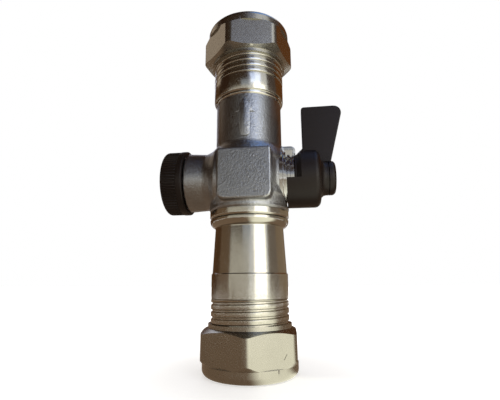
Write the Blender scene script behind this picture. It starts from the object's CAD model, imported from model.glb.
# Isolating ball valve for 15 mm pipe, standing on its inlet nut: nickel-plated brass with a black
# plastic lever and drain cap. Blender 4.5; metres, with the sizes below in millimetres.
import math

import bmesh
import bpy
from mathutils import Matrix, Vector


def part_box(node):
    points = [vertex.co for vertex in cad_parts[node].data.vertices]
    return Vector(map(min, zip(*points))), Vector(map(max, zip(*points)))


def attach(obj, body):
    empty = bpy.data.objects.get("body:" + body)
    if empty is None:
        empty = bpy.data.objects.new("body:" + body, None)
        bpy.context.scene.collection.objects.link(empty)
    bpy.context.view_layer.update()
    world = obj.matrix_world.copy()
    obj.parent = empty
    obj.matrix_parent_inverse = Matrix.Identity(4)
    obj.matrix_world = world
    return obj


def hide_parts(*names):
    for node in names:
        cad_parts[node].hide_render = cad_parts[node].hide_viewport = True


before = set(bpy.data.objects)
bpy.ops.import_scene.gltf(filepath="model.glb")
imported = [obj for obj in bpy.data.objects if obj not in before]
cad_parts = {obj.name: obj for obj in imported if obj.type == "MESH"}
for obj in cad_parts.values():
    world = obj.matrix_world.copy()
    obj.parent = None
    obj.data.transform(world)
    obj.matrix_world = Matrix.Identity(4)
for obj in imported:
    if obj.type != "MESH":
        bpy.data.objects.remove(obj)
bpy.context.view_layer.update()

# Camera, lights and floor.
# The camera stands a little to the lever's side, low down, and looks up at the valve. A bright
# window and a patch of sky are on its right, with brown felt and pale walls all round.
MM = 0.001
ring_low, ring_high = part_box("connector_o_ring")
AXIS = (ring_low[0] + ring_high[0]) / 2 / MM  # the waterway's place along X
CENTRE = (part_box("inlet_seat")[0][2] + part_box("outlet_seat")[1][2]) / 2 / MM  # the ball's height

AZIMUTH, ROLL = math.radians(7.0), math.radians(-0.35)
DISTANCE, DROP = 100.1, 23.2  # from the point that it looks at, level and down
aim = Vector((AXIS + 0.2, 0, CENTRE - 5.65)) * MM
away = Vector((math.sin(AZIMUTH), -math.cos(AZIMUTH), 0)) * DISTANCE * MM
stand = aim + away - Vector((0, 0, DROP * MM))
camera = bpy.data.objects.new("camera", bpy.data.cameras.new("camera"))
camera.data.sensor_width = 36
camera.data.lens = 25.3
camera.data.clip_start = 0.005
look = (aim - stand).to_track_quat("-Z", "Y").to_matrix().to_4x4()
camera.matrix_world = Matrix.Translation(stand) @ look @ Matrix.Rotation(ROLL, 4, "Z")
bpy.context.collection.objects.link(camera)
bpy.context.scene.camera = camera
bpy.context.scene.view_settings.view_transform = "Standard"


def linear(code):
    """An sRGB hex colour as linear RGBA."""
    parts = [int(code[i : i + 2], 16) / 255 for i in (1, 3, 5)]
    return [
        c / 12.92 if c <= 0.04045 else ((c + 0.055) / 1.055) ** 2.4 for c in parts
    ] + [1.0]


def add(tree, kind, settings=None, inputs=None):
    """A node with its settings, and with its inputs set to values or linked to sockets."""
    node = tree.nodes.new(kind)
    for key, value in (settings or {}).items():
        setattr(node, key, value)
    for key, value in (inputs or {}).items():
        if isinstance(value, bpy.types.NodeSocket):
            tree.links.new(value, node.inputs[key])
        else:
            node.inputs[key].default_value = value
    return node


def seen_rays(tree):
    """1 for what the camera, glass or a mirror sees, and 0 for the light that falls on things."""
    ray = add(tree, "ShaderNodeLightPath")
    seen = ray.outputs["Is Camera Ray"]
    for kind in ("Is Transmission Ray", "Is Glossy Ray"):
        either = {0: seen, 1: ray.outputs[kind]}
        seen = add(tree, "ShaderNodeMath", {"operation": "MAXIMUM"}, either).outputs[0]
    return seen


world = bpy.data.worlds.new("studio")
world.use_nodes = True
bpy.context.scene.world = world
sky = world.node_tree
sky.nodes.clear()
dim = add(sky, "ShaderNodeBackground", None, {"Color": linear("#f4f1ec"), "Strength": 0.55})
white = add(sky, "ShaderNodeBackground", None, {"Color": linear("#ffffff"), "Strength": 1.0})
both = add(
    sky,
    "ShaderNodeMixShader",
    None,
    {0: seen_rays(sky), 1: dim.outputs[0], 2: white.outputs[0]},
)
add(sky, "ShaderNodeOutputWorld", None, {"Surface": both.outputs[0]})


def around(bearing, distance, height):
    """A place round the valve: the bearing runs from the front (-Y) towards the lever (+X)."""
    turn = math.radians(bearing)
    return Vector(
        (AXIS + distance * math.sin(turn), -distance * math.cos(turn), height)
    )


def soft_box(name, bearing, distance, height, size, brightness, colour):
    """A soft box, aimed at the ball. Brightness is what it shows in a mirror."""
    lamp = bpy.data.lights.new(name, "AREA")
    lamp.shape = "RECTANGLE"
    lamp.size, lamp.size_y = size[0] * MM, size[1] * MM
    lamp.energy = brightness * math.pi * lamp.size * lamp.size_y
    lamp.color = linear(colour)[:3]
    held = bpy.data.objects.new(name, lamp)
    spot = around(bearing, distance, height)
    held.location = spot * MM
    turn = (Vector((AXIS, 0, CENTRE)) - spot).to_track_quat("-Z", "Y")
    held.rotation_euler = turn.to_euler()
    held.visible_camera = False
    bpy.context.collection.objects.link(held)


soft_box("window", 40, 380, 62, (250, 190), 2.4, "#fff8ea")
soft_box("sky_right", 28, 250, 175, (140, 90), 1.9, "#c4d6ff")
soft_box("sky_back", 200, 330, 260, (240, 160), 1.2, "#e6edff")
soft_box("lamp_left", -110, 330, 330, (150, 150), 0.5, "#fff0dc")


def alone():
    """Deselects everything, so that the next operator acts on its own piece only."""
    bpy.ops.object.select_all(action="DESELECT")


FELT_DISTANCE = 420.0


def felt_card(name, bearing, half_angle, low, high, code):
    """A hanging card that only polished metal sees, as in product photography."""
    alone()
    bpy.ops.mesh.primitive_plane_add(
        size=1,
        location=around(bearing, FELT_DISTANCE, (low + high) / 2) * MM,
        rotation=(math.pi / 2, 0, math.radians(bearing)),
    )
    card = bpy.context.object
    card.name = name
    width = 2 * FELT_DISTANCE * math.tan(math.radians(half_angle))
    card.scale = (width * MM, (high - low) * MM, 1)
    cloth = bpy.data.materials.new(name + " felt")
    cloth.use_nodes = True
    cloth.node_tree.nodes.clear()
    glow = add(cloth.node_tree, "ShaderNodeEmission", None, {"Color": linear(code)})
    add(cloth.node_tree, "ShaderNodeOutputMaterial", None, {"Surface": glow.outputs[0]})
    card.data.materials.append(cloth)
    card.visible_camera = False
    card.visible_diffuse = False
    card.visible_shadow = False
    card.visible_transmission = False
    return card


felt_card("felt_behind", 187, 28, -120, 700, "#5a3d26")
felt_card("felt_left_back", -122, 25, -120, 700, "#5b4029")
felt_card("felt_left", -77, 21, -120, 150, "#7c654f")
felt_card("felt_left_high", -77, 21, 150, 700, "#3a2619")
felt_card("wall_front_left", -26, 31, -160, 130, "#d9d3c6")
felt_card("felt_front_left", -36, 21, 130, 215, "#453628")
felt_card("felt_front_left_high", -26, 31, 215, 700, "#453628")
felt_card("wall_front", -2, 13, 130, 215, "#aab1be")
felt_card("wall_front_high", 16, 11, 215, 700, "#8b8b97")
felt_card("wall_right", 84, 18, -120, 150, "#877a6e")
felt_card("felt_right", 84, 18, 150, 700, "#5d5048")
felt_card("wall_right_back", 132, 30, -120, 150, "#9a866f")
felt_card("felt_right_back", 132, 30, 150, 700, "#70441f")


def laid_card(name, low, high, height, code, strength=1.0):
    """A card that lies level between two corners, seen by polished metal only."""
    card = felt_card(name, 0, 10, 0, 1, code)
    card.rotation_euler = (0, 0, 0)
    card.location = (
        (low[0] + high[0]) / 2 * MM,
        (low[1] + high[1]) / 2 * MM,
        height * MM,
    )
    card.scale = ((high[0] - low[0]) * MM, (high[1] - low[1]) * MM, 1)
    for node in card.data.materials[0].node_tree.nodes:
        if node.type == "EMISSION":
            node.inputs["Strength"].default_value = strength


laid_card("bench", (-300, -300), (300, 300), 0.2, "#8b6f52")
laid_card("felt_above", (-450, -450), (80, 450), 702, "#3a2a20")
laid_card("skylight", (80, -350), (350, 250), 702, "#86b4ff", 1.3)

# The window lights a streak of the bench, which runs out from the valve at 45 degrees.
WINDOW = math.radians(45)
bench = bpy.data.materials["bench felt"].node_tree
glow = next(node for node in bench.nodes if node.type == "EMISSION")
where = add(bench, "ShaderNodeNewGeometry").outputs["Position"]
out, aside = (
    add(bench, "ShaderNodeVectorMath", {"operation": "DOT_PRODUCT"}, {0: where, 1: way})
    for way in (
        (math.sin(WINDOW), -math.cos(WINDOW), 0),
        (math.cos(WINDOW), math.sin(WINDOW), 0),
    )
)
aside = add(
    bench, "ShaderNodeMath", {"operation": "ABSOLUTE"}, {0: aside.outputs["Value"]}
)
out = add(
    bench, "ShaderNodeMath", {"operation": "MAXIMUM"}, {0: out.outputs["Value"], 1: 0.1 * MM}
)
ratio = add(
    bench, "ShaderNodeMath", {"operation": "DIVIDE"}, {0: aside.outputs[0], 1: out.outputs[0]}
)
streak = add(
    bench,
    "ShaderNodeMapRange",
    {"interpolation_type": "SMOOTHSTEP"},
    {"Value": ratio.outputs[0], "From Min": 0.4, "From Max": 1.1, "To Min": 1, "To Max": 0},
)
lit = add(bench, "ShaderNodeMix", {"data_type": "RGBA"}, {0: streak.outputs["Result"]})
lit.inputs[6].default_value = linear("#8d7560")
lit.inputs[7].default_value = [1.8 * part for part in linear("#f4f1de")]
bench.links.new(lit.outputs[2], glow.inputs["Color"])

# The floor is white card. It shines fully from FAR on, and less close by, which keeps the shadow.
NEAR, FAR, NEAR_SHINE = 16, 70, 0.48
alone()
bpy.ops.mesh.primitive_plane_add(size=3.0, location=(0, 0, -0.0001))
floor = bpy.context.object
floor.name = "floor"
card = bpy.data.materials.new("white card")
card.use_nodes = True
tree = card.node_tree
shader = tree.nodes["Principled BSDF"]
shader.inputs["Base Color"].default_value = linear("#f4f3f1")
shader.inputs["Roughness"].default_value = 0.9
place = add(tree, "ShaderNodeTexCoord")
reach = add(
    tree, "ShaderNodeVectorMath", {"operation": "LENGTH"}, {0: place.outputs["Object"]}
)
fade = add(
    tree,
    "ShaderNodeMapRange",
    {"interpolation_type": "SMOOTHSTEP"},
    {
        "Value": reach.outputs["Value"],
        "From Min": NEAR * MM,
        "From Max": FAR * MM,
        "To Min": NEAR_SHINE,
        "To Max": 1.0,
    },
)
glow = add(
    tree,
    "ShaderNodeMath",
    {"operation": "MULTIPLY"},
    {0: seen_rays(tree), 1: fade.outputs["Result"]},
)
tree.links.new(glow.outputs[0], shader.inputs["Emission Strength"])
shader.inputs["Emission Color"].default_value = linear("#ffffff")
floor.data.materials.append(card)


# Valve body.
# Hot-forged brass, machined at its ends, at the stem and drain bosses and inside, then nickel
# plated. The pad on its front is bare, and the arrow shows which way the water flows.
def nickel_plate(name, light, dark, roughness, sand_mm, sand_depth, ring_mm, ring_depth):
    """Nickel plate over brass. It keeps what is under it: the die's or tumbler's sand, whose
    grains are so many mm across, and the turning tool's rings, so many mm apart. The plate
    itself is cloudy, lighter and darker in patches of about 5 mm."""
    made = bpy.data.materials.new(name)
    made.use_nodes = True
    tree = made.node_tree
    shader = tree.nodes["Principled BSDF"]
    shader.inputs["Metallic"].default_value = 1.0
    where = add(tree, "ShaderNodeTexCoord").outputs["Object"]
    clouds = add(
        tree,
        "ShaderNodeTexNoise",
        None,
        {"Vector": where, "Scale": 1 / (5 * MM), "Detail": 7.0, "Roughness": 0.72},
    )
    mixed = add(tree, "ShaderNodeMix", {"data_type": "RGBA"}, {0: clouds.outputs["Fac"]})
    mixed.inputs[6].default_value = linear(dark)
    mixed.inputs[7].default_value = linear(light)
    tree.links.new(mixed.outputs[2], shader.inputs["Base Color"])
    sand = add(
        tree,
        "ShaderNodeTexNoise",
        None,
        {"Vector": where, "Scale": 1 / (sand_mm * MM), "Detail": 4.0, "Roughness": 0.6},
    ).outputs["Fac"]
    satin = add(
        tree,
        "ShaderNodeMapRange",
        None,
        {
            "Value": sand,
            "From Min": 0.3,
            "From Max": 0.7,
            "To Min": roughness - 0.06,
            "To Max": roughness + 0.08,
        },
    )
    tree.links.new(satin.outputs["Result"], shader.inputs["Roughness"])
    bump = add(
        tree, "ShaderNodeBump", None, {"Height": sand, "Distance": sand_depth * MM}
    )
    if ring_mm:
        centred = add(
            tree,
            "ShaderNodeVectorMath",
            {"operation": "SUBTRACT"},
            {0: where, 1: (AXIS * MM, 0, 0)},
        )
        flat = add(
            tree,
            "ShaderNodeVectorMath",
            {"operation": "MULTIPLY"},
            {0: centred.outputs[0], 1: (1, 1, 0)},
        )
        radius = add(
            tree, "ShaderNodeVectorMath", {"operation": "LENGTH"}, {0: flat.outputs[0]}
        )
        height = add(tree, "ShaderNodeSeparateXYZ", None, {0: where})
        along = add(
            tree,
            "ShaderNodeMath",
            {"operation": "ADD"},
            {0: radius.outputs["Value"], 1: height.outputs["Z"]},
        )
        rings = add(
            tree,
            "ShaderNodeTexNoise",
            {"noise_dimensions": "1D"},
            {
                "W": along.outputs[0],
                "Scale": 1 / (ring_mm * MM),
                "Detail": 3.0,
                "Roughness": 0.7,
            },
        )
        bump = add(
            tree,
            "ShaderNodeBump",
            None,
            {
                "Height": rings.outputs["Fac"],
                "Distance": ring_depth * MM,
                "Normal": bump.outputs[0],
            },
        )
    tree.links.new(bump.outputs[0], shader.inputs["Normal"])
    return made


# The forging's skin is sandy and satin; the machined faces are brighter, with fine rings.
forged = nickel_plate(
    "nickel plate on forged brass", "#abadae", "#84878a", 0.33, 0.55, 0.1, None, 0
)
turned_plate = nickel_plate(
    "nickel plate on turned brass", "#c2c0b7", "#a8a69d", 0.17, 0.5, 0.003, 0.2, 0.003
)
boss_plate = nickel_plate(
    "nickel plate on turned bosses", "#c6c7c6", "#b3b4b3", 0.16, 0.5, 0.002, None, 0
)


def settle(made):
    """Puts a piece's place, turn and scale into its mesh."""
    alone()
    made.select_set(True)
    bpy.context.view_layer.objects.active = made
    bpy.ops.object.transform_apply(location=True, rotation=True, scale=True)
    return made


def turned(name, profile, about="Z", hollow=False, sides=112, plate=None):
    """A turned piece: a circle extruded and scaled from one (radius, distance) to the next.
    About Z it is on the waterway, with distances from the ball up; about X or -X it is on the
    stem's axis, with distances from the waterway out."""
    alone()
    radius, height = profile[0]
    bpy.ops.mesh.primitive_circle_add(
        vertices=sides,
        radius=radius * MM,
        fill_type="NOTHING" if hollow else "NGON",
        location=(0, 0, height * MM),
    )
    made = bpy.context.object
    made.name = name
    extrude = (
        bpy.ops.mesh.extrude_edges_move if hollow else bpy.ops.mesh.extrude_region_move
    )
    bpy.ops.object.mode_set(mode="EDIT")
    bpy.ops.mesh.select_all(action="SELECT")
    for to_radius, to_height in profile[1:] + (profile[:1] if hollow else []):
        rise = (to_height - height) * MM
        extrude(TRANSFORM_OT_translate={"value": (0, 0, rise)})
        grow = to_radius / radius
        bpy.ops.transform.resize(
            value=(grow, grow, 1), center_override=(0, 0, to_height * MM)
        )
        radius, height = to_radius, to_height
    bpy.ops.mesh.select_all(action="SELECT")
    bpy.ops.mesh.remove_doubles(threshold=0.002 * MM)
    bpy.ops.mesh.normals_make_consistent(inside=False)
    bpy.ops.object.mode_set(mode="OBJECT")
    settle(made)
    if about != "Z":
        made.rotation_euler = (0, math.pi / 2 if about == "X" else -math.pi / 2, 0)
    made.location = (AXIS * MM, 0, CENTRE * MM)
    if plate:
        made.data.materials.append(plate)
    return settle(made)


def shaped_by(made, kind, **settings):
    """Adds a modifier and applies it."""
    alone()
    made.select_set(True)
    bpy.context.view_layer.objects.active = made
    modifier = made.modifiers.new(kind.lower(), kind)
    for key, value in settings.items():
        setattr(modifier, key, value)
    bpy.ops.object.modifier_apply(modifier=modifier.name)
    return made


def combine(made, tool, operation):
    """Joins to, cuts from or keeps within the tool, which is used up. The faces that a tool
    leaves keep its finish."""
    shaped_by(
        made,
        "BOOLEAN",
        object=tool,
        operation=operation,
        solver="EXACT",
        material_mode="TRANSFER",
    )
    bpy.data.objects.remove(tool)
    return made


def smooth(made, angle=32, flats=True):
    """Shades the curves smooth, and leaves the edges and, on machined pieces, the flat faces."""
    made.data.validate()
    alone()
    made.select_set(True)
    bpy.context.view_layer.objects.active = made
    bpy.ops.object.shade_smooth_by_angle(angle=math.radians(angle))
    return shaped_by(made, "WEIGHTED_NORMAL", keep_sharp=True) if flats else made


def arc(radius, height, size, start, stop, steps=6):
    """Points of a rounding about a centre, as (radius, height)."""
    turns = [math.radians(start + (stop - start) * i / steps) for i in range(steps + 1)]
    return [(radius + size * math.cos(t), height + size * math.sin(t)) for t in turns]


def block(name, low, high):
    """A block between two corners, as (from the waterway axis, from the stem axis, from the
    ball up)."""
    alone()
    middle = [(a + b) / 2 for a, b in zip(low, high)]
    bpy.ops.mesh.primitive_cube_add(
        size=1,
        location=((AXIS + middle[0]) * MM, middle[1] * MM, (CENTRE + middle[2]) * MM),
        scale=[(b - a) * MM for a, b in zip(low, high)],
    )
    made = bpy.context.object
    made.name = name
    return settle(made)


def bevel_where(made, picks, size, segments):
    """Bevels the edges whose middle and direction pass the test."""
    alone()
    made.select_set(True)
    bpy.context.view_layer.objects.active = made
    bpy.ops.object.mode_set(mode="EDIT")
    bpy.ops.mesh.select_mode(type="EDGE")
    bpy.ops.mesh.select_all(action="DESELECT")
    mesh = bmesh.from_edit_mesh(made.data)
    for edge in mesh.edges:
        first, second = (vertex.co for vertex in edge.verts)
        middle = (first + second) / 2 / MM - Vector((AXIS, 0, CENTRE))
        edge.select = picks(middle, (second - first).normalized())
    bmesh.update_edit_mesh(made.data)
    bpy.ops.mesh.bevel(offset=size * MM, segments=segments)
    bpy.ops.mesh.select_mode(type="VERT")
    bpy.ops.object.mode_set(mode="OBJECT")
    return made


def pick(made, test):
    """In edit mode, selects the vertices whose place, in mm from the ball, passes the test."""
    mesh = bmesh.from_edit_mesh(made.data)
    for vertex in mesh.verts:
        vertex.select = test(vertex.co / MM - Vector((AXIS, 0, CENTRE)))
    mesh.select_flush(True)
    bmesh.update_edit_mesh(made.data)


def eased(made, width, angle):
    """Rounds every edge that turns by more than the angle."""
    return shaped_by(
        made,
        "BEVEL",
        width=width * MM,
        segments=2,
        limit_method="ANGLE",
        angle_limit=math.radians(angle),
    )


# The forging, before machining. Each boss flows into the housing with a fillet.
TUBE = 9.8
HOUSING = 12.0
SKIRT = 11.4
core = turned(
    "valve_body_forged",
    [
        (SKIRT - 0.35, -10.4),
        (SKIRT - 0.35, -9.5),
        (SKIRT, -9.35),
        (SKIRT, -8.4),
        (HOUSING - 0.3, -6.4),
        (HOUSING, -5.6),
        (HOUSING, 5.0),
        (11.6, 5.9),
        (10.7, 7.5),
        (10.1, 8.4),
        (TUBE, 9.3),
        (TUBE, 24.0),
    ],
    sides=128,
)
drain_boss = turned(
    "drain_boss",
    [(10.5, 6.0), (10.4, 8.7), (9.2, 10.2), (8.5, 11.7), (8.4, 12.2), (8.75, 17.6)],
    "-X",
)
stem_root = turned("stem_root", [(10.9, 5.0), (10.3, 7.4), (9.2, 8.4), (8.6, 9.4)], "X")

LUG_BACK, LUG_FRONT = -24, 10  # degrees from straight up towards the front
LUG = [
    (9.95, 3.5),
    *arc(8.65, 12.5, 1.3, 0, 90),
    (5.0, 13.8),
]


def sector(name, profile, back, front, hollow=False):
    """A turned piece about the stem's axis, kept only between two angles under 180 apart."""
    made = turned(name, profile, "X", hollow)
    bpy.ops.object.mode_set(mode="EDIT")
    for degrees, side in ((front, 1), (back, -1)):
        bpy.ops.mesh.select_all(action="SELECT")
        edge = math.radians(degrees)
        bpy.ops.mesh.bisect(
            plane_co=(AXIS * MM, 0, CENTRE * MM),
            plane_no=(0, -math.cos(edge) * side, -math.sin(edge) * side),
            use_fill=True,
            clear_outer=True,
        )
    bpy.ops.object.mode_set(mode="OBJECT")
    return made


lug = sector("stop_lug", LUG, LUG_BACK, LUG_FRONT)

PAD_FRONT = -12.25
pad = block("pad", (-7.3, PAD_FRONT, -7.9), (7.3, -6.25, 6.3))
bevel_where(pad, lambda at, way: abs(way.y) > 0.9 and at.z < 0, 1.8, 2)
bevel_where(pad, lambda at, way: abs(way.y) > 0.9 and at.z > 5, 0.6, 2)
bevel_where(pad, lambda at, way: abs(way.y) < 0.1 and at.y < -12, 0.35, 2)

alone()
for part in (drain_boss, stem_root, lug, pad, core):
    part.select_set(True)
bpy.context.view_layer.objects.active = core
bpy.ops.object.join()
VOXEL = 0.25  # fine enough for the pad's bevels and the lug's corners
shaped_by(core, "REMESH", mode="VOXEL", voxel_size=VOXEL * MM)
shaped_by(core, "SMOOTH", factor=0.5, iterations=4)
core.data.materials.append(forged)

# The stem boss: a turned barrel, relieved for the lever's skirt except at the stop lug, and the
# bright rings that show through the skirt's opening.
relief = turned(
    "relief", [(6.3, 10.6), (8.75, 10.6), (8.75, 16), (6.3, 16)], "X", True, plate=boss_plate
)
combine(relief, sector("lug_room", [(12, 3), (12, 17)], LUG_BACK, LUG_FRONT), "DIFFERENCE")
combine(core, relief, "DIFFERENCE")
stem_boss = turned(
    "stem_boss",
    [
        (8.7, 6.0),
        (8.7, 10.1),
        (8.55, 10.25),
        (8.15, 10.3),
        (8.15, 10.95),
        (6.8, 10.95),
        (6.8, 11.3),
        (7.2, 11.3),
        (7.3, 11.4),
        (7.3, 12.1),
        (7.2, 12.2),
        (6.7, 12.2),
        (6.7, 12.75),
        (7.0, 12.75),
        (7.0, 13.25),
        (6.85, 13.4),
    ],
    "X",
    plate=boss_plate,
)
combine(core, stem_boss, "UNION")
drain_end = turned(
    "drain_end",
    [(7.4, 16.0), (7.4, 18.3), (8.2, 18.6), (8.2, 20.5), (7.7, 21.0)],
    "-X",
    plate=boss_plate,
)
combine(core, drain_end, "UNION")

# The skirt's machined lower edge.
skirt = turned(
    "skirt_turned",
    [
        (10.6, -11.7),
        (10.85, -11.68),
        (11.22, -11.3),
        (11.25, -11.2),
        (11.25, -9.75),
        (10.9, -9.4),
        (10.8, -8.8),
    ],
    plate=turned_plate,
)
combine(core, skirt, "UNION")

# The outlet end: a forged rim, a turned band and the thread.
THREAD = 10.62  # crest radius of the 1/2 inch parallel thread, 14 to the inch
ROOT = 10.24  # the groove's floor, less deep than a sharp thread's because the plate fills it
PITCH = 1.814
BAND = 10.57
INLET_SPIGOT_END, OUTLET_SPIGOT_END = -47.3, 43.8
upper = turned(
    "outlet_turned",
    [
        (9.0, 21.0),
        (9.75, 23.3),
        (10.05, 23.55),
        (10.1, 23.7),
        (10.1, 24.25),
        (10.2, 24.4),
        (BAND - 0.08, 24.55),
        (BAND, 24.7),
        (BAND, 29.75),
        (BAND - 0.1, 29.9),
        (ROOT - 0.23, 30.5),
        (ROOT - 0.23, 32.0),
    ],
    plate=turned_plate,
)
combine(core, upper, "UNION")


def threaded_spigot():
    """The inlet's spigot: a rod with a right-hand thread, its end chamfered. The tooth is a
    trapezium carried round and up, with a flat wide crest, as rolled and plated threads have."""
    low, high = INLET_SPIGOT_END, -33.2
    alone()
    bpy.ops.mesh.primitive_plane_add(size=1, rotation=(math.pi / 2, 0, 0))
    tooth = settle(bpy.context.object)
    deep = THREAD - ROOT + 0.3
    bpy.ops.object.mode_set(mode="EDIT")
    bpy.ops.mesh.select_all(action="SELECT")
    bpy.ops.transform.resize(
        value=(deep * MM, 1, 0.98 * PITCH * MM), center_override=(0, 0, 0)
    )
    bpy.ops.transform.translate(value=((THREAD - deep / 2) * MM, 0, 0))
    pick(tooth, lambda at: at.x + AXIS > THREAD - 0.01)
    bpy.ops.transform.resize(value=(1, 1, 0.6), center_override=(0, 0, 0))
    bpy.ops.mesh.bevel(offset=0.07 * MM, segments=2, affect="VERTICES")
    bpy.ops.object.mode_set(mode="OBJECT")
    tooth.location = (0, 0, (low - PITCH) * MM)
    shaped_by(
        tooth,
        "SCREW",
        angle=math.tau,
        screw_offset=PITCH * MM,
        iterations=math.ceil((high - low) / PITCH) + 2,
        steps=96,
        render_steps=96,
        use_merge_vertices=True,
        merge_threshold=0.002 * MM,
    )
    bpy.ops.object.mode_set(mode="EDIT")
    bpy.ops.mesh.select_mode(type="VERT")
    bpy.ops.mesh.select_all(action="DESELECT")
    bpy.ops.mesh.select_non_manifold()
    bpy.ops.mesh.fill_holes(sides=16)
    bpy.ops.mesh.select_all(action="SELECT")
    bpy.ops.mesh.normals_make_consistent(inside=False)
    bpy.ops.object.mode_set(mode="OBJECT")
    settle(tooth)
    tooth.location = (AXIS * MM, 0, CENTRE * MM)
    settle(tooth)
    envelope = turned(
        "thread_envelope",
        [(5, low + 0.01), (9.5, low + 0.01), (11, low + 1.5), (11, -33.6), (10, high), (5, high)],
    )
    combine(tooth, envelope, "INTERSECT")
    rod = turned("inlet_spigot", [(9.5, low), (ROOT, low + 0.4), (ROOT, high)], plate=turned_plate)
    return combine(rod, tooth, "UNION")


def copied(original, name, turn=0, flip=False, lift=0):
    """A copy with its own mesh, turned about the waterway, or turned end over end about the
    ball first, and then lifted."""
    twin = original.copy()
    twin.data = original.data.copy()
    twin.name = name
    bpy.context.collection.objects.link(twin)
    ball = Vector((AXIS, 0, CENTRE)) * MM
    twin.matrix_world = (
        Matrix.Translation(ball + Vector((0, 0, lift * MM)))
        @ Matrix.Rotation(math.radians(turn), 4, "Z")
        @ Matrix.Rotation(math.pi if flip else 0, 4, "X")
        @ Matrix.Translation(-ball)
    )
    return settle(twin)


inlet_spigot = threaded_spigot()
outlet_lift = OUTLET_SPIGOT_END + INLET_SPIGOT_END
combine(core, copied(inlet_spigot, "outlet_spigot", 0, True, outlet_lift), "UNION")

# The flow arrow, raised on the tube by the die.
arrow = block("flow_arrow", (-1.5, -11.5, 10.35), (1.5, -8.5, 17.6))
bevel_where(arrow, lambda at, way: abs(way.y) > 0.9 and at.z < 12, 1.2, 5)
head = block("arrow_head", (-2.8, -11.5, 17.6), (2.8, -8.5, 21.8))
bpy.ops.object.mode_set(mode="EDIT")
pick(head, lambda at: at.z > 20)
bpy.ops.transform.resize(
    value=(0.04, 1, 1), center_override=(AXIS * MM, 0, CENTRE * MM), orient_type="GLOBAL"
)
bpy.ops.object.mode_set(mode="OBJECT")
combine(arrow, head, "UNION")
combine(
    arrow,
    turned("arrow_height", [(9.0, 9.5), (10.22, 9.5), (10.22, 22.6), (9.0, 22.6)], hollow=True),
    "INTERSECT",
)
eased(arrow, 0.1, 40)
combine(core, arrow, "UNION")


def nick(made, at, bearing, lean, length, width):
    """A mark of use: a short groove where something struck the face that looks to the bearing.
    It leans so many degrees from level."""
    alone()
    turn = (
        Matrix.Rotation(math.radians(bearing), 4, "Z")
        @ Matrix.Rotation(math.pi / 2, 4, "X")
        @ Matrix.Rotation(math.radians(lean), 4, "Z")
        @ Matrix.Rotation(math.pi / 4, 4, "X")
    )
    bpy.ops.mesh.primitive_cube_add(
        size=1,
        location=(Vector((AXIS, 0, CENTRE)) + Vector(at)) * MM,
        rotation=turn.to_euler(),
        scale=(length * MM, width * MM, width * MM),
    )
    return combine(made, settle(bpy.context.object), "DIFFERENCE")


# Bored through: chamber, seat recess, waterway, pipe socket, stem bore and drain bore.
waterway = turned(
    "waterway_cut",
    [
        (9.75, -14.0),
        (9.75, -9.4),
        (9.0, -9.4),
        (9.0, 5.5),
        (7.9, 5.5),
        (7.9, 7.66),
        (6.6, 7.66),
        (6.6, 30.8),
        (7.6, 30.8),
        (7.6, 41.6),
        (8.86, 43.8),
        (8.86, 45.0),
    ],
    plate=turned_plate,
)
combine(core, waterway, "DIFFERENCE")
stem_bore = turned("stem_bore", [(5.02, 6), (5.02, 10), (3.58, 10), (3.58, 15)], "X", sides=64)
combine(core, stem_bore, "DIFFERENCE")
drain_bore = turned("drain_bore", [(1.75, 6), (1.75, 13), (4.5, 13), (4.5, 22)], "-X", sides=64)
combine(core, drain_bore, "DIFFERENCE")
smooth(core, flats=False)
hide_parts("valve_body")
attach(core, "body")


# Inlet connector, with its seal.
# A brass bar turned and bored on a lathe, nickel plated, and screwed into the body's skirt: it
# holds the inlet seat, and its lower end is threaded for the compression nut.
BEAD = 11.15
connector = turned(
    "inlet_connector_turned",
    [
        (8.65, -5.5),
        (8.9, -5.8),
        (8.9, -9.5),
        (9.55, -9.5),
        (9.55, -11.95),
        (BEAD - 0.15, -11.95),
        (BEAD, -12.1),
        *arc(BEAD - 2.0, -12.3, 2.0, 0, -75, 9),
        (9.66, -14.3),
        (9.66, -14.6),
        (10.28, -26.4),
        (10.3, -26.5),
        (10.3, -26.7),
        (BAND - 0.1, -26.82),
        (BAND, -26.95),
        (BAND, -33.2),
        (BAND - 0.1, -33.35),
        (ROOT - 0.23, -34.05),
        (ROOT - 0.23, -36.0),
    ],
    plate=turned_plate,
)
combine(connector, inlet_spigot, "UNION")
connector_bore = turned(
    "connector_bore",
    [
        (8.86, -49.0),
        (8.86, INLET_SPIGOT_END),
        (7.6, -45.1),
        (7.6, -34.3),
        (6.6, -34.3),
        (6.6, -7.66),
        (7.9, -7.66),
        (7.9, -4.0),
    ],
    plate=turned_plate,
)
combine(connector, connector_bore, "DIFFERENCE")
nick(connector, (10.05, -4.7, -12.7), 65, 40, 1.4, 0.2)
smooth(connector)
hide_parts("inlet_connector")
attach(connector, "body")


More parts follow.
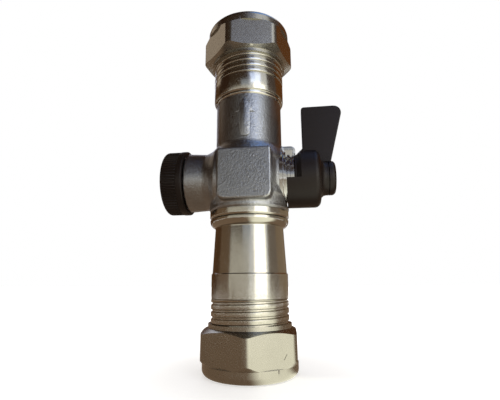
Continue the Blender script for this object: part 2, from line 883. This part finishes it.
def plain_finish(name, code, metallic, roughness, patch_mm, depth_mm, darker):
    """A finish of one colour that is a little darker and duller in patches so many mm across."""
    made = bpy.data.materials.new(name)
    made.use_nodes = True
    tree = made.node_tree
    shader = tree.nodes["Principled BSDF"]
    shader.inputs["Metallic"].default_value = metallic
    where = add(tree, "ShaderNodeTexCoord").outputs["Object"]
    patches = add(
        tree,
        "ShaderNodeTexNoise",
        None,
        {"Vector": where, "Scale": 1 / (patch_mm * MM), "Detail": 4.0},
    ).outputs["Fac"]
    mixed = add(tree, "ShaderNodeMix", {"data_type": "RGBA"}, {0: patches})
    mixed.inputs[6].default_value = linear(darker)
    mixed.inputs[7].default_value = linear(code)
    tree.links.new(mixed.outputs[2], shader.inputs["Base Color"])
    dull = add(
        tree,
        "ShaderNodeMapRange",
        None,
        {"Value": patches, "To Min": roughness + 0.08, "To Max": roughness - 0.08},
    )
    tree.links.new(dull.outputs["Result"], shader.inputs["Roughness"])
    bump = add(tree, "ShaderNodeBump", None, {"Height": patches, "Distance": depth_mm * MM})
    tree.links.new(bump.outputs[0], shader.inputs["Normal"])
    return made


def dress(node, material):
    """Gives a CAD node that stays its finish."""
    for slot in bpy.data.objects[node].material_slots:
        slot.material = material


# Nitrile rubber, moulded: dull black with a faint bloom.
rubber = plain_finish("nitrile rubber, moulded", "#171717", 0.0, 0.6, 0.8, 0.004, "#0f0f10")
dress("connector_o_ring", rubber)


# Ball and its two seats.
# The ball is turned brass, polished and chrome plated, with a port along the waterway and a
# small hole that drains the outlet side when it is shut. The seats are turned fluoropolymer.
chrome = plain_finish("chrome plate on polished brass", "#c9cbcd", 1.0, 0.12, 3.0, 0.001, "#bcbec1")
fluoropolymer = plain_finish("fluoropolymer, turned", "#e9e7e0", 0.0, 0.45, 1.2, 0.003, "#dedbd2")
dress("ball", chrome)
dress("inlet_seat", fluoropolymer)
dress("outlet_seat", fluoropolymer)


# Stem, with its thrust washer and two seals.
# Turned from brass bar and put in from inside the body, so that pressure can't blow it out.
bare_brass = plain_finish("bare turned brass", "#c39a4e", 1.0, 0.3, 1.5, 0.002, "#a98240")
dress("stem", bare_brass)
dress("stem_thrust_washer", fluoropolymer)
dress("stem_o_ring_inner", rubber)
dress("stem_o_ring_outer", rubber)


# Lever.
# One moulding of black nylon: a hub with a skirt round the boss, a neck and a flat blade that
# lies along the waterway when the valve is open. The skirt's opening meets the stop lug.
def moulded_black(name, code, darker, roughness):
    """Black plastic as moulded: semi-gloss, with a fine spark-eroded grain of about 0.3 mm."""
    made = plain_finish(name, code, 0.0, roughness, 4.0, 0.0, darker)
    tree = made.node_tree
    where = add(tree, "ShaderNodeTexCoord").outputs["Object"]
    grain = add(
        tree, "ShaderNodeTexNoise", None, {"Vector": where, "Scale": 1 / (0.3 * MM)}
    )
    bump = add(
        tree,
        "ShaderNodeBump",
        None,
        {"Height": grain.outputs["Fac"], "Distance": 0.006 * MM},
    )
    shader = tree.nodes["Principled BSDF"]
    tree.links.new(bump.outputs[0], shader.inputs["Normal"])
    shader.inputs["IOR"].default_value = 1.45
    shader.inputs["Specular IOR Level"].default_value = 0.3
    return made


nylon = moulded_black("black nylon, moulded", "#1e1510", "#17100c", 0.42)

HUB = 8.35
HUB_START, NECK_END = 14.0, 22.8
NECK = 4.95
hub = turned(
    "lever_moulded",
    [
        (7.1, HUB_START - 0.5),
        (7.1, HUB_START),
        (HUB - 0.15, HUB_START),
        (HUB, HUB_START + 0.15),
        *arc(HUB - 1.7, 18.9, 1.7, 0, 78, 8),
        (6.1, 20.68),
        (5.6, 20.9),
        (5.2, 21.3),
        (5.0, 21.8),
        (NECK, 22.3),
        (NECK, NECK_END),
    ],
    "X",
    sides=96,
)
skirt_ring = turned(
    "lever_skirt", [(7.5, 11.2), (HUB, 11.2), (HUB, 14.6), (7.5, 14.6)], "X", True, 96
)
OPEN_BACK, OPEN_FRONT = -25, 101
for back, front in ((OPEN_BACK, 40), (38, OPEN_FRONT)):
    opening = sector("skirt_opening", [(12, 9), (12, 15)], back, front)
    combine(skirt_ring, opening, "DIFFERENCE")
    slope = sector(
        "hub_slope",
        [(7.15, 13.9), (7.15, HUB_START), (8.5, 15.35), (12, 15.35), (12, 13.9)],
        back,
        front,
        True,
    )
    combine(hub, slope, "DIFFERENCE")

BLADE_INNER, BLADE_TIP, BLADE_ROOT, BLADE_TOP, GUSSET = 15.9, 28.3, 23.72, 22.15, 0.7
blade = block("lever_blade", (BLADE_INNER, -1.5, 4.0), (BLADE_TIP, 1.5, BLADE_TOP))
bpy.ops.object.mode_set(mode="EDIT")
pick(blade, lambda at: at.x > 20 and at.z < 5)
bpy.ops.transform.translate(value=((BLADE_ROOT - BLADE_TIP) * MM, 0, 0))
bpy.ops.mesh.select_all(action="SELECT")
bpy.ops.mesh.bisect(
    plane_co=(0, 0, (CENTRE + HUB + GUSSET) * MM), plane_no=(0, 0, 1), use_fill=False
)
bpy.ops.mesh.select_all(action="DESELECT")
mesh = bmesh.from_edit_mesh(blade.data)
for face in mesh.faces:
    middle = face.calc_center_median() / MM
    face.select = face.normal.x < -0.9 and middle.z < CENTRE + HUB + GUSSET
bmesh.update_edit_mesh(blade.data)
bpy.ops.mesh.extrude_region_move(TRANSFORM_OT_translate={"value": (-GUSSET * MM, 0, 0)})
pick(blade, lambda at: at.x < BLADE_INNER - 0.5 and at.z > HUB)
bpy.ops.transform.translate(value=(0, 0, -GUSSET * MM))
bpy.ops.object.mode_set(mode="OBJECT")
bevel_where(
    blade, lambda at, way: abs(way.y) > 0.9 and at.z > 20 and at.x > 20, 3.0, 8
)
bevel_where(
    blade, lambda at, way: abs(way.y) > 0.9 and at.z > 20 and at.x < 20, 0.8, 4
)
bevel_where(blade, lambda at, way: abs(way.y) < 0.1 and abs(at.y) > 1.4, 0.35, 3)
combine(hub, blade, "UNION")
combine(hub, skirt_ring, "UNION")
stem_room = turned("stem_room", [(3.8, 13), (3.8, HUB_START + 0.1)], "X", sides=64)
combine(hub, stem_room, "DIFFERENCE")
counterbore = turned(
    "screw_room", [(1.8, 13), (1.8, 19.6), (3.8, 19.6), (3.8, 24)], "X", sides=64
)
combine(hub, counterbore, "DIFFERENCE")
combine(hub, block("drive_square", (13, -2.65, -2.65), (18.45, 2.65, 2.65)), "DIFFERENCE")
eased(hub, 0.12, 38)
hub.data.materials.clear()
hub.data.materials.append(nylon)
smooth(hub)
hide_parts("handle")
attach(hub, "lever")

# The screw and its washer hold the lever on the stem: zinc-plated steel, under the button.
steel = plain_finish("zinc plate on steel", "#a6a7aa", 1.0, 0.32, 0.9, 0.003, "#8f9195")
dress("handle_screw", steel)
dress("handle_screw_washer", steel)

# The button covers the screw: the same nylon, pressed into the neck by its spigot.
button = turned(
    "lever_button",
    [
        (3.25, 22.0),
        (3.7, 22.0),
        (3.7, 22.9),
        (NECK - 0.12, 22.9),
        (NECK, 23.02),
        *arc(NECK - 1.1, 23.75, 1.1, 0, 80),
        (3.2, 24.88),
        (1.6, 24.9),
        (0.1, 24.9),
        (0.1, 23.6),
        (3.1, 23.6),
        (3.25, 23.4),
    ],
    "X",
    True,
    96,
    nylon,
)
bpy.ops.object.mode_set(mode="EDIT")
bpy.ops.mesh.select_all(action="DESELECT")
bpy.ops.mesh.select_mode(type="VERT")
pick(button, lambda at: math.hypot(at.y, at.z) < 0.3)
bpy.ops.mesh.merge(type="COLLAPSE")
bpy.ops.object.mode_set(mode="OBJECT")
smooth(button)
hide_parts("handle_button")
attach(button, "lever")


# Drain cap and its disc.
# A black nylon screw cap with a smooth band and a ribbed grip. It presses a rubber disc on the
# drain port, and is loosened to drain the outlet side.
CAP = 9.55
RIBS, RIB_DEPTH = 64, 0.25
cap = turned(
    "drain_cap_moulded",
    [
        (8.4, 22.5),
        (8.4, 17.9),
        (CAP - 0.3, 17.9),
        *arc(CAP - 0.25, 18.15, 0.25, 270, 360, 3),
        (CAP, 19.5),
        (CAP - 0.05, 19.6),
        (CAP - 0.2, 19.7),
        (CAP - 0.1, 19.85),
        (CAP - 0.1, 23.3),
        *arc(CAP - 1.0, 23.3, 0.9, 10, 80),
        (8.0, 24.2),
        (4.0, 24.2),
        (0.1, 24.2),
        (0.1, 22.5),
    ],
    "-X",
    True,
    RIBS * 4,
    nylon,
)
bpy.ops.object.mode_set(mode="EDIT")
bpy.ops.mesh.select_all(action="DESELECT")
bpy.ops.mesh.select_mode(type="VERT")


def between_ribs(at):
    """Whether a vertex of the grip lies in a groove, past the smooth band."""
    share = math.atan2(at.z, at.y) / math.tau * RIBS % 1
    return at.x < -19.8 and math.hypot(at.y, at.z) > 9 and 0.4 < share < 0.85


pick(cap, between_ribs)
bpy.ops.transform.resize(
    value=(1, 1 - RIB_DEPTH / CAP, 1 - RIB_DEPTH / CAP), center_override=(0, 0, CENTRE * MM)
)
bpy.ops.mesh.select_all(action="DESELECT")
pick(cap, lambda at: math.hypot(at.y, at.z) < 0.3)
bpy.ops.mesh.remove_doubles(threshold=0.25 * MM)
bpy.ops.object.mode_set(mode="OBJECT")
smooth(cap, 40)
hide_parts("drain_cap")
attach(cap, "drain_cap")
dress("drain_cap_washer", rubber)


# Compression nuts and olives.
# The nuts are machined from hexagon brass with well rounded corners, then tumbled and nickel
# plated. Each squeezes a bare brass olive onto the pipe.
tumbled = nickel_plate(
    "nickel plate on tumbled brass", "#b1afa6", "#9f9d95", 0.25, 0.33, 0.0016, None, 0
)
INLET_END, OUTLET_END = -52.4, 48.9
CORNER, COLLAR = 14.15, 12.7
NUT_HEIGHT, COLLAR_HEIGHT = 11.8, 3.1
alone()
bpy.ops.mesh.primitive_cylinder_add(
    vertices=6,
    radius=CORNER * MM,
    depth=(NUT_HEIGHT - COLLAR_HEIGHT) * MM,
    location=(AXIS * MM, 0, (CENTRE + INLET_END + (NUT_HEIGHT + COLLAR_HEIGHT) / 2) * MM),
    rotation=(0, 0, math.radians(30)),
)
nut = settle(bpy.context.object)
nut.name = "compression_nut"
bevel_where(nut, lambda at, way: abs(way.z) > 0.9, 1.3, 8)
collar = turned(
    "collar", [(COLLAR, INLET_END), (COLLAR, INLET_END + 3.2)], sides=128
)
combine(nut, collar, "UNION")
outside = turned(
    "nut_outside",
    [(8.0, INLET_END)]
    + arc(COLLAR - 1.7, INLET_END + 1.7, 1.7, -90, 0, 8)
    + [
        (COLLAR, INLET_END + COLLAR_HEIGHT),
        (COLLAR + 0.05, INLET_END + 3.2),
        (14.3, INLET_END + 4.9),
        (14.3, INLET_END + 10.4),
        (11.5, INLET_END + 11.75),
        (11.3, INLET_END + NUT_HEIGHT),
        (8.0, INLET_END + NUT_HEIGHT),
    ],
    sides=128,
)
combine(nut, outside, "INTERSECT")
bore = turned(
    "nut_bore",
    [
        (7.95, INLET_END - 1),
        (7.95, INLET_END),
        (7.6, INLET_END + 0.35),
        (7.6, INLET_END + 1.1),
        (9.3, INLET_END + 3.1),
        (10.77, INLET_END + 3.1),
        (10.77, INLET_END + 11.3),
        (11.27, INLET_END + NUT_HEIGHT),
        (11.27, INLET_END + NUT_HEIGHT + 1),
    ],
    sides=128,
)
combine(nut, bore, "DIFFERENCE")
eased(nut, 0.14, 22)
nut.data.materials.clear()
nut.data.materials.append(tumbled)
for name, bearing, flip, shift in (
    ("inlet_nut", 32.6, False, 0),
    ("outlet_nut", 11.5, True, OUTLET_END + INLET_END),
):
    made = copied(nut, name + "_machined", bearing, flip, shift)
    if name == "inlet_nut":
        nick(made, (9.63, -8.37, -46.6), bearing, 55, 1.5, 0.13)
    smooth(made, 30)
    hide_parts(name)
    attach(made, name)
bpy.data.objects.remove(nut)
dress("inlet_olive", bare_brass)
dress("outlet_olive", bare_brass)
